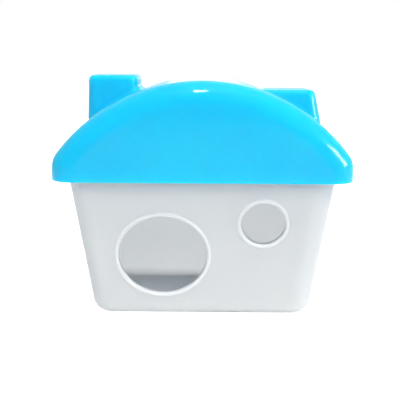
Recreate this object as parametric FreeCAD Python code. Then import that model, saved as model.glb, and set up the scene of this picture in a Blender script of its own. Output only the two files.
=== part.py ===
import FreeCAD, Part
import math
import os

# Hamster house: a tapered tub with an entrance and a window, under an arched roof that lifts off.
# Millimetres. X is to the right, Y to the back, Z up. The origin is the middle of the underside.

Vector = FreeCAD.Vector

# Tub. Its width and depth are those of its wall at the rim, without the flange.
TUB_HEIGHT = 62.3
TUB_WIDTH = 109.6
TUB_DEPTH = 77.6
TUB_TAPER = 8.6
TUB_WALL = 1.6
TUB_FLOOR = 1.8
TUB_CORNER_ROUND = 9.0
TUB_FOOT_ROUND = 6.5
TUB_MOUTH_ROUND = 0.4
FLANGE_REACH = 3.1
FLANGE_THICKNESS = 2.0
FLANGE_EDGE_ROUND = 0.5

# Oval entrance and round window in the front wall, and the bead round each. Heights are along the wall.
ENTRANCE_WIDTH = 36.2
ENTRANCE_HEIGHT = 33.7
ENTRANCE_X = -15.9
ENTRANCE_Z = 27.0
WINDOW_WIDTH = 17.8
WINDOW_HEIGHT = 17.8
WINDOW_X = 24.8
WINDOW_Z = 40.7
BEAD_WIDTH = 1.6
BEAD_PROUD = 0.9
BEAD_ROUND = 0.7

# Roof
FIT_GAP = 0.3
ROOF_WALL = 1.8
ROOF_LAP = 4.0
EAVE_HEIGHT = 8.1
ARCH_RISE = 31.3
EDGE_ROUND = 9.0
EAVE_SOFTENING = 0.4
SKIRT_EDGE_ROUND = 0.5

# Ribs inside the roof that stand on the flange of the tub
RIB_THICKNESS = 1.6
RIB_REACH = 4.0
RIB_HEIGHT = 14.0
RIB_FOOT_HEIGHT = 4.0
RIB_SPACING = 60.0

# Chimney. Its middle is this far from the left end of the roof. Its width and depth are those of its top.
CHIMNEY_FROM_END = 22.0
CHIMNEY_WIDTH = 20.4
CHIMNEY_DEPTH = 26.0
CHIMNEY_ABOVE_CREST = 1.5
CHIMNEY_DRAFT = 2.0
CHIMNEY_CORNER_ROUND = 3.8
CHIMNEY_TOP_ROUND = 2.2

# Block, at the right. Its flat top runs into the arch. The right edge of its top is this far from the
# right end of the roof, and its depth is that of its top.
BLOCK_FROM_END = 13.0
BLOCK_DEPTH = 28.0
BLOCK_BELOW_CREST = 4.2
BLOCK_DRAFT = 11.0
BLOCK_CORNER_ROUND = 3.5
BLOCK_TOP_ROUND = 2.6

# Hollow corner where the chimney and the block rise out of the arch, and the least rounding inside them
STACK_BASE_ROUND = 2.2
LEAST_INSIDE_ROUND = 0.4

# Worked out from the sizes above
ROOF_OVERHANG = FLANGE_REACH + FIT_GAP + ROOF_WALL
ROOF_WIDTH = TUB_WIDTH + 2 * ROOF_OVERHANG
ROOF_DEPTH = TUB_DEPTH + 2 * ROOF_OVERHANG
ROOF_LOW = TUB_HEIGHT - ROOF_LAP
STACK_LOW = ROOF_LOW + EAVE_HEIGHT
CREST_Z = STACK_LOW + ARCH_RISE
ARCH_RADIUS = ((ROOF_WIDTH / 2) ** 2 + ARCH_RISE ** 2) / (2 * ARCH_RISE)
ARCH_CENTRE_Z = CREST_Z - ARCH_RADIUS
EAVE_ROUND = EDGE_ROUND + EAVE_SOFTENING
CHIMNEY_X = CHIMNEY_FROM_END - ROOF_WIDTH / 2
BLOCK_RIGHT_X = ROOF_WIDTH / 2 - BLOCK_FROM_END

SMALL = 1e-3


def tangent(angle):
    return math.tan(math.radians(angle))


def side_inset(offset, draft):
    """How far a face with this draft moves in, measured level with a top that sinks by the same offset."""
    return offset / math.cos(math.radians(draft)) - offset * tangent(draft)


def frustum(low, high, left, right, depth, draft, left_draft):
    """Block from low to high. left, right and depth are those of its top, and draft widens it downwards."""
    corners = []
    for z in (low, high):
        grow = (high - z) * tangent(draft)
        start = left - (high - z) * tangent(left_draft)
        end = right + grow
        half = depth / 2 + grow
        corners.append([Vector(start, -half, z), Vector(end, -half, z),
                        Vector(end, half, z), Vector(start, half, z)])
    bottom, top = corners
    loops = [bottom[::-1], top]
    for i in range(4):
        j = (i + 1) % 4
        loops.append([bottom[i], bottom[j], top[j], top[i]])
    faces = [Part.Face(Part.makePolygon(loop + loop[:1])) for loop in loops]
    return Part.makeSolid(Part.makeShell(faces))


def rounded(solid, radius, test):
    """Round every edge whose bounding box passes the test."""
    return solid.makeFillet(radius, [edge for edge in solid.Edges if test(edge.BoundBox)])


def rises(bounds):
    return bounds.ZLength > 1.0


def level_at(*heights):
    def test(bounds):
        return any(abs(bounds.ZMin - z) < SMALL and abs(bounds.ZMax - z) < SMALL for z in heights)
    return test


# Tub

def tub_form(offset, low, high):
    """Outer form of the tub moved inwards by offset, from low to high."""
    widen = (high - TUB_HEIGHT) * tangent(TUB_TAPER) - offset / math.cos(math.radians(TUB_TAPER))
    half_width = TUB_WIDTH / 2 + widen
    form = frustum(low, high, -half_width, half_width, TUB_DEPTH + 2 * widen, -TUB_TAPER, -TUB_TAPER)
    form = rounded(form, TUB_CORNER_ROUND - offset, rises)
    return rounded(form, TUB_FOOT_ROUND - offset, level_at(low))


def flange():
    width = TUB_WIDTH + 2 * FLANGE_REACH
    depth = TUB_DEPTH + 2 * FLANGE_REACH
    low = TUB_HEIGHT - FLANGE_THICKNESS
    plate = Part.makeBox(width, depth, FLANGE_THICKNESS, Vector(-width / 2, -depth / 2, low))
    plate = rounded(plate, EDGE_ROUND - ROOF_WALL - FIT_GAP, rises)
    return rounded(plate, FLANGE_EDGE_ROUND, level_at(low, TUB_HEIGHT))


def front_wall_place(x, z):
    """Place on the outer face of the front wall, with its own Z axis pointing out of the wall."""
    y = (TUB_HEIGHT - z) * tangent(TUB_TAPER) - TUB_DEPTH / 2
    return FreeCAD.Placement(Vector(x, y, z), FreeCAD.Rotation(Vector(1, 0, 0), 90 + TUB_TAPER))


def oval_plug(width, height, low, high):
    across = Vector(width / 2, 0, low)
    along = Vector(0, height / 2, low)
    long_end, short_end = (across, along) if width >= height else (along, across)
    outline = Part.Ellipse(long_end, short_end, Vector(0, 0, low))
    return Part.Face(Part.Wire(outline.toShape())).extrude(Vector(0, 0, high - low))


def hole_plug(width, height, x, z):
    reach = 3 * TUB_WALL + BEAD_PROUD
    plug = oval_plug(width, height, -reach, reach)
    plug.Placement = front_wall_place(x, z)
    return plug


def bead(width, height, x, z):
    """Rounded ring that stands proud of the wall round a hole and is rooted in the wall."""
    ring = oval_plug(width + 2 * BEAD_WIDTH, height + 2 * BEAD_WIDTH, -TUB_WALL / 2, BEAD_PROUD)
    ring = ring.cut(oval_plug(width, height, -TUB_WALL, 2 * BEAD_PROUD))
    ring = rounded(ring, BEAD_ROUND, level_at(BEAD_PROUD))
    ring.Placement = front_wall_place(x, z)
    return ring


def mouth_edge(bounds):
    """Inner edge of the rim: level with it, and inside the wall's outer face."""
    inside_x = max(bounds.XMax, -bounds.XMin) < TUB_WIDTH / 2
    inside_y = max(bounds.YMax, -bounds.YMin) < TUB_DEPTH / 2
    return level_at(TUB_HEIGHT)(bounds) and inside_x and inside_y


def make_tub():
    holes = ((ENTRANCE_WIDTH, ENTRANCE_HEIGHT, ENTRANCE_X, ENTRANCE_Z),
             (WINDOW_WIDTH, WINDOW_HEIGHT, WINDOW_X, WINDOW_Z))
    tub = tub_form(0.0, 0.0, TUB_HEIGHT).fuse(flange())
    tub = tub.cut(tub_form(TUB_WALL, TUB_FLOOR, TUB_HEIGHT + TUB_WALL)).removeSplitter()
    tub = rounded(tub, TUB_MOUTH_ROUND, mouth_edge)
    for hole in holes:
        tub = tub.cut(hole_plug(*hole)).fuse(bead(*hole))
    return tub.removeSplitter()


# Roof

def arch_outline(offset, low):
    """Front view of the roof moved inwards by offset: upright sides, round eaves and one long arc."""
    half = ROOF_WIDTH / 2 - offset
    radius = ARCH_RADIUS - offset
    eave = EAVE_ROUND - offset
    eave_x = half - eave
    eave_rise = math.sqrt((radius - eave) ** 2 - eave_x ** 2)
    eave_z = ARCH_CENTRE_Z + eave_rise
    lean = math.atan2(eave_x, eave_rise)
    half_lean = (lean + math.pi / 2) / 2
    side_low = Vector(half, 0, low)
    side_top = Vector(half, 0, eave_z)
    middle = Vector(eave_x + eave * math.sin(half_lean), 0, eave_z + eave * math.cos(half_lean))
    join = Vector(radius * math.sin(lean), 0, ARCH_CENTRE_Z + radius * math.cos(lean))
    crest = Vector(0, 0, ARCH_CENTRE_Z + radius)

    def mirrored(point):
        return Vector(-point.x, point.y, point.z)

    edges = [Part.LineSegment(mirrored(side_low), side_low),
             Part.LineSegment(side_low, side_top),
             Part.Arc(side_top, middle, join),
             Part.Arc(join, crest, mirrored(join)),
             Part.Arc(mirrored(join), mirrored(middle), mirrored(side_top)),
             Part.LineSegment(mirrored(side_top), mirrored(side_low))]
    return Part.Wire([edge.toShape() for edge in edges])


def arch(offset, low):
    """The roof without its chimney and block, solid, moved inwards by offset."""
    half_depth = ROOF_DEPTH / 2 - offset
    outline = arch_outline(offset, low)
    outline.translate(Vector(0, -half_depth, 0))
    body = Part.Face(outline).extrude(Vector(0, 2 * half_depth, 0))

    def round_the_face(bounds):
        return bounds.YLength < SMALL and bounds.ZMax > low + SMALL

    return rounded(body, EDGE_ROUND - offset, round_the_face)


def chimney(offset):
    top = CREST_Z + CHIMNEY_ABOVE_CREST - offset
    inset = side_inset(offset, CHIMNEY_DRAFT)
    half = CHIMNEY_WIDTH / 2 - inset
    form = frustum(STACK_LOW, top, CHIMNEY_X - half, CHIMNEY_X + half, CHIMNEY_DEPTH - 2 * inset,
                   CHIMNEY_DRAFT, CHIMNEY_DRAFT)
    form = rounded(form, CHIMNEY_CORNER_ROUND - offset, rises)
    return rounded(form, max(CHIMNEY_TOP_ROUND - offset, LEAST_INSIDE_ROUND), level_at(top))


def block(offset):
    top = CREST_Z - BLOCK_BELOW_CREST - offset
    inset = side_inset(offset, BLOCK_DRAFT)
    form = frustum(STACK_LOW, top, 0.0, BLOCK_RIGHT_X - inset, BLOCK_DEPTH - 2 * inset, BLOCK_DRAFT, 0.0)

    def right_corner(bounds):
        return rises(bounds) and bounds.XMin > SMALL

    def top_edge(bounds):
        return level_at(top)(bounds) and bounds.XMax > SMALL

    form = rounded(form, BLOCK_CORNER_ROUND - offset, right_corner)
    return rounded(form, max(BLOCK_TOP_ROUND - offset, LEAST_INSIDE_ROUND), top_edge)


def joined(base, stack):
    """Fuse a stack to the arch, with a hollow rounding along the line where their surfaces meet."""
    whole = base.fuse(stack).removeSplitter()

    def lies_on(edge, solid):
        middle = edge.valueAt((edge.FirstParameter + edge.LastParameter) / 2)
        return solid.Shells[0].distToShape(Part.Vertex(middle))[0] < SMALL

    seam = [edge for edge in whole.Edges if lies_on(edge, base) and lies_on(edge, stack)]
    return whole.makeFillet(STACK_BASE_ROUND, seam)


def rib():
    """Gusset on a wall whose inner face is the plane Y = 0, reaching into +Y and standing at Z = 0."""
    root = -ROOF_WALL / 2
    outline = [Vector(0, root, 0), Vector(0, RIB_REACH, 0), Vector(0, RIB_REACH, RIB_FOOT_HEIGHT),
               Vector(0, 0, RIB_HEIGHT), Vector(0, root, RIB_HEIGHT)]
    outline.append(outline[0])
    gusset = Part.Face(Part.makePolygon(outline)).extrude(Vector(RIB_THICKNESS, 0, 0))
    gusset.translate(Vector(-RIB_THICKNESS / 2, 0, 0))
    return gusset


def ribs():
    """Two ribs in front, two at the back and one at each end, cut back to the middle of the wall."""
    wall_x = ROOF_WIDTH / 2 - ROOF_WALL
    wall_y = ROOF_DEPTH / 2 - ROOF_WALL
    places = [(-RIB_SPACING / 2, -wall_y, 0), (RIB_SPACING / 2, -wall_y, 0), (wall_x, 0, 90),
              (RIB_SPACING / 2, wall_y, 180), (-RIB_SPACING / 2, wall_y, 180), (-wall_x, 0, 270)]
    limit = arch(ROOF_WALL / 2, ROOF_LOW)
    found = []
    for x, y, turn in places:
        one = rib()
        one.Placement = FreeCAD.Placement(Vector(x, y, TUB_HEIGHT), FreeCAD.Rotation(Vector(0, 0, 1), turn))
        found.append(one.common(limit))
    return found


def make_roof():
    outer = joined(joined(arch(0.0, ROOF_LOW), chimney(0.0)), block(0.0))
    hollow = arch(ROOF_WALL, ROOF_LOW - ROOF_WALL).fuse([chimney(ROOF_WALL), block(ROOF_WALL)])
    roof = outer.cut(hollow).fuse(ribs()).removeSplitter()
    return rounded(roof, SKIRT_EDGE_ROUND, level_at(ROOF_LOW))


os.makedirs("parts", exist_ok=True)
for name, shape in (("tub", make_tub()), ("roof", make_roof())):
    print(name, "valid:", shape.isValid(), "solids:", len(shape.Solids), "volume:", round(shape.Volume, 1))
    shape.exportStep("parts/" + name + ".step")
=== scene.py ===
import math

import bpy
from mathutils import Matrix, Vector

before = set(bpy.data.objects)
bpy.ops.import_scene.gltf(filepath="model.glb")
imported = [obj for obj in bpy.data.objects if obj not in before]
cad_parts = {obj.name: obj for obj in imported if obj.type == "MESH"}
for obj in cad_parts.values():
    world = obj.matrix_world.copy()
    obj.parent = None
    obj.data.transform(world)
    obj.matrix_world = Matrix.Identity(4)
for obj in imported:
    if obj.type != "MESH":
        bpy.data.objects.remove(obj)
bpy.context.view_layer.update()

# Camera, worked out from the outlines of the photograph, in metres and degrees
FRAME_PIXELS = 400.0
FOCAL_PIXELS = 765.6
SENSOR_MM = 36.0
CAMERA_PLACE = (0.0010, -0.3375, 0.1053)
CAMERA_DOWN = 10.31
CAMERA_TURN = 0.35
CAMERA_ROLL = 0.33
CAMERA_NEAREST = 0.01

# Floor. Its glow is what the camera and the gloss see of it, so that it comes out white round its shadows.
FLOOR_SIZE = 6.0
FLOOR_COLOUR = (0.74, 0.74, 0.74)
FLOOR_ROUGHNESS = 0.9
FLOOR_GLOSS = 0.1
FLOOR_GLOW = 0.88

# Surroundings. The backdrop is what the camera and the gloss see of them. The light that they cast on a
# plain surface is slightly blue, and weaker from the left than from the right.
BACKDROP_STRENGTH = 1.0
WORLD_COLOUR = (0.72, 0.88, 1.0)
WORLD_LIGHT_LEFT = 0.22
WORLD_LIGHT_RIGHT = 0.54

# Lamps: name, place, width, height, watts. All are slightly warm and aim at the middle of the object.
# The key is small, for the short streak on the crest. The window makes the streak on the right edge of
# the roof, and the back strip the bright line along the top of the crest.
LAMPS = (
    ("key", (-0.017, -0.41, 1.02), 0.11, 0.185, 3.6),
    ("overhead", (0.15, -0.10, 1.05), 0.6, 0.6, 0.9),
    ("right", (0.62, -0.22, 0.85), 0.5, 0.5, 3.6),
    ("window", (0.944, -0.323, 0.427), 0.34, 0.36, 13.0),
    ("front", (0.12, -0.82, 0.56), 0.8, 0.5, 6.4),
    ("back", (0.0, 1.0, 0.30), 1.2, 0.7, 9.0),
    ("back_strip", (0.015, 1.2, 0.125), 0.20, 0.04, 0.05),
)
LAMP_COLOUR = (1.0, 0.985, 0.96)
LAMP_AIM = (0.0, 0.0, 0.05)

# Lamps that make a highlight and cast no light, and lamps that cast light and make no highlight
ONLY_IN_GLOSS = ("window", "back_strip")
NEVER_IN_GLOSS = ("right", "front", "back")

# What both plastics share. Most of a noise lies between the low and the high value. Bumps are in metres.
NOISE_LOW = 0.3
NOISE_HIGH = 0.7
PLASTIC_ROUGHNESS = (0.30, 0.42)
PLASTIC_IOR = 1.49
PLASTIC_GLOSS = 0.05
RIPPLE_DEPTH = 0.0004
GRAIN_DEPTH = 0.00002
GRAIN_STRENGTH = 0.3


def add_object(name, data):
    made = bpy.data.objects.new(name, data)
    bpy.context.scene.collection.objects.link(made)
    return made


def add_camera():
    data = bpy.data.cameras.new("camera")
    data.sensor_width = SENSOR_MM
    data.lens = FOCAL_PIXELS * SENSOR_MM / FRAME_PIXELS
    data.clip_start = CAMERA_NEAREST
    camera = add_object("camera", data)
    camera.location = CAMERA_PLACE
    tilt = Matrix.Rotation(math.radians(90 - CAMERA_DOWN), 3, "X")
    roll = Matrix.Rotation(math.radians(CAMERA_ROLL), 3, "Z")
    turn = Matrix.Rotation(math.radians(CAMERA_TURN), 3, "Z")
    camera.rotation_euler = (turn @ tilt @ roll).to_euler()
    bpy.context.scene.camera = camera


def new_material(name):
    material = bpy.data.materials.new(name)
    material.use_nodes = True
    tree = material.node_tree
    return material, tree, tree.nodes["Principled BSDF"]


def noise(tree, coordinates, scale, detail):
    texture = tree.nodes.new("ShaderNodeTexNoise")
    texture.inputs["Scale"].default_value = scale
    texture.inputs["Detail"].default_value = detail
    tree.links.new(coordinates, texture.inputs["Vector"])
    return texture.outputs["Fac"]


def map_range(tree, value, start, end, low, high):
    """Turn a value from start to end into one from low to high."""
    node = tree.nodes.new("ShaderNodeMapRange")
    node.inputs["From Min"].default_value = start
    node.inputs["From Max"].default_value = end
    node.inputs["To Min"].default_value = low
    node.inputs["To Max"].default_value = high
    tree.links.new(value, node.inputs["Value"])
    return node.outputs["Result"]


def two_tones(tree, value, first, second):
    """Colour that goes from first to second with a noise value."""
    ramp = tree.nodes.new("ShaderNodeValToRGB")
    stops = zip(ramp.color_ramp.elements, (NOISE_LOW, NOISE_HIGH), (first, second))
    for stop, position, colour in stops:
        stop.position = position
        stop.color = (*colour, 1)
    tree.links.new(value, ramp.inputs["Fac"])
    return ramp.outputs["Color"]


def bump(tree, value, distance, strength, below=None):
    node = tree.nodes.new("ShaderNodeBump")
    node.inputs["Distance"].default_value = distance
    node.inputs["Strength"].default_value = strength
    tree.links.new(value, node.inputs["Height"])
    if below is not None:
        tree.links.new(below, node.inputs["Normal"])
    return node.outputs["Normal"]


def moulded_plastic(name, tones, clouds, ripple_strength, grain, patches, light_spread, light_reach,
                    coat_weight, coat_roughness):
    """Plastic that light passes into, under a thin clear coat.

    clouds, grain and patches are noises, as a scale and a detail. The clouds carry the two tones and the
    ripple, and the patches vary the roughness. light_spread is how far red, green and blue pass into the
    plastic, as shares of light_reach, which is in metres.
    """
    material, tree, shader = new_material(name)
    place = tree.nodes.new("ShaderNodeTexCoord").outputs["Object"]
    clouds_value = noise(tree, place, *clouds)
    grain_value = noise(tree, place, *grain)
    patches_value = noise(tree, place, *patches)
    colour = two_tones(tree, clouds_value, *tones)
    roughness = map_range(tree, patches_value, NOISE_LOW, NOISE_HIGH, *PLASTIC_ROUGHNESS)
    ripple = bump(tree, clouds_value, RIPPLE_DEPTH, ripple_strength)
    surface = bump(tree, grain_value, GRAIN_DEPTH, GRAIN_STRENGTH, ripple)
    tree.links.new(colour, shader.inputs["Base Color"])
    tree.links.new(roughness, shader.inputs["Roughness"])
    tree.links.new(surface, shader.inputs["Normal"])
    shader.inputs["Subsurface Weight"].default_value = 1.0
    shader.inputs["Subsurface Radius"].default_value = light_spread
    shader.inputs["Subsurface Scale"].default_value = light_reach
    shader.inputs["IOR"].default_value = PLASTIC_IOR
    shader.inputs["Specular IOR Level"].default_value = PLASTIC_GLOSS
    shader.inputs["Coat Weight"].default_value = coat_weight
    shader.inputs["Coat Roughness"].default_value = coat_roughness
    shader.inputs["Coat IOR"].default_value = PLASTIC_IOR
    return material


def white_plastic():
    """Milky polypropylene: light passes deep into the wall, and the surface is satin."""
    return moulded_plastic(
        "white_plastic",
        tones=((0.978, 0.984, 0.988), (0.988, 0.991, 0.993)),
        clouds=(35.0, 3.0),
        ripple_strength=0.35,
        grain=(2600.0, 2.0),
        patches=(140.0, 3.0),
        light_spread=(1.0, 1.0, 1.0),
        light_reach=0.0095,
        coat_weight=0.18,
        coat_roughness=0.25,
    )


def blue_plastic():
    """Glossy sky blue plastic with a faint orange peel and a slow ripple from the mould."""
    return moulded_plastic(
        "blue_plastic",
        tones=((0.0, 0.445, 0.82), (0.0, 0.485, 0.85)),
        clouds=(30.0, 2.0),
        ripple_strength=0.25,
        grain=(700.0, 1.0),
        patches=(160.0, 4.0),
        light_spread=(0.4, 0.9, 1.0),
        light_reach=0.006,
        coat_weight=0.35,
        coat_roughness=0.05,
    )


def seen_directly(tree):
    """1 for what the camera, the gloss or a clear material sees, and 0 for light on a plain surface."""
    path = tree.nodes.new("ShaderNodeLightPath")
    total = path.outputs["Is Camera Ray"]
    for kind in ("Is Glossy Ray", "Is Transmission Ray"):
        largest = tree.nodes.new("ShaderNodeMath")
        largest.operation = "MAXIMUM"
        tree.links.new(total, largest.inputs[0])
        tree.links.new(path.outputs[kind], largest.inputs[1])
        total = largest.outputs["Value"]
    return total


def choose(tree, hidden, seen):
    """The seen shader where something looks straight at it, and the hidden one elsewhere."""
    pick = tree.nodes.new("ShaderNodeMixShader")
    tree.links.new(seen_directly(tree), pick.inputs["Fac"])
    tree.links.new(hidden, pick.inputs[1])
    tree.links.new(seen, pick.inputs[2])
    return pick.outputs["Shader"]


def emission(tree, strength):
    node = tree.nodes.new("ShaderNodeEmission")
    node.inputs["Strength"].default_value = strength
    return node.outputs["Emission"]


def floor_material():
    """Pale matt floor that takes shadows. The glow is added to it only where it is seen."""
    material, tree, shader = new_material("floor")
    shader.inputs["Base Color"].default_value = (*FLOOR_COLOUR, 1)
    shader.inputs["Roughness"].default_value = FLOOR_ROUGHNESS
    shader.inputs["Specular IOR Level"].default_value = FLOOR_GLOSS
    total = tree.nodes.new("ShaderNodeAddShader")
    tree.links.new(shader.outputs["BSDF"], total.inputs[0])
    nothing = emission(tree, 0.0)
    glow = emission(tree, FLOOR_GLOW)
    tree.links.new(choose(tree, nothing, glow), total.inputs[1])
    tree.links.new(total.outputs["Shader"], tree.nodes["Material Output"].inputs["Surface"])
    return material


def add_floor():
    half = FLOOR_SIZE / 2
    corners = [(-half, -half, 0), (half, -half, 0), (half, half, 0), (-half, half, 0)]
    mesh = bpy.data.meshes.new("floor")
    mesh.from_pydata(corners, [], [(0, 1, 2, 3)])
    mesh.materials.append(floor_material())
    floor = add_object("floor", mesh)


def add_lamp(name, place, width, height, watts):
    data = bpy.data.lights.new(name, "AREA")
    data.shape = "RECTANGLE"
    data.size = width
    data.size_y = height
    data.energy = watts
    data.color = LAMP_COLOUR
    lamp = add_object(name, data)
    lamp.location = place
    lamp.rotation_euler = (Vector(LAMP_AIM) - Vector(place)).to_track_quat("-Z", "Y").to_euler()
    lamp.visible_camera = False
    lamp.visible_glossy = name not in NEVER_IN_GLOSS
    lamp.visible_diffuse = name not in ONLY_IN_GLOSS


def add_world():
    world = bpy.data.worlds.new("world")
    bpy.context.scene.world = world
    world.use_nodes = True
    tree = world.node_tree
    light = tree.nodes["Background"]
    light.inputs["Color"].default_value = (*WORLD_COLOUR, 1)
    direction = tree.nodes.new("ShaderNodeTexCoord").outputs["Generated"]
    parts = tree.nodes.new("ShaderNodeSeparateXYZ")
    tree.links.new(direction, parts.inputs["Vector"])
    left, right = -1.0, 1.0
    strength = map_range(tree, parts.outputs["X"], left, right, WORLD_LIGHT_LEFT, WORLD_LIGHT_RIGHT)
    tree.links.new(strength, light.inputs["Strength"])
    backdrop = tree.nodes.new("ShaderNodeBackground")
    backdrop.inputs["Color"].default_value = (1, 1, 1, 1)
    backdrop.inputs["Strength"].default_value = BACKDROP_STRENGTH
    shown = choose(tree, light.outputs["Background"], backdrop.outputs["Background"])
    tree.links.new(shown, tree.nodes["World Output"].inputs["Surface"])


def dress(node, material):
    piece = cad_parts[node]
    piece.data.materials.clear()
    piece.data.materials.append(material)


add_camera()
add_world()
add_floor()
for lamp in LAMPS:
    add_lamp(*lamp)
dress("tub", white_plastic())
dress("roof", blue_plastic())

scene = bpy.context.scene
scene.view_settings.view_transform = "Standard"
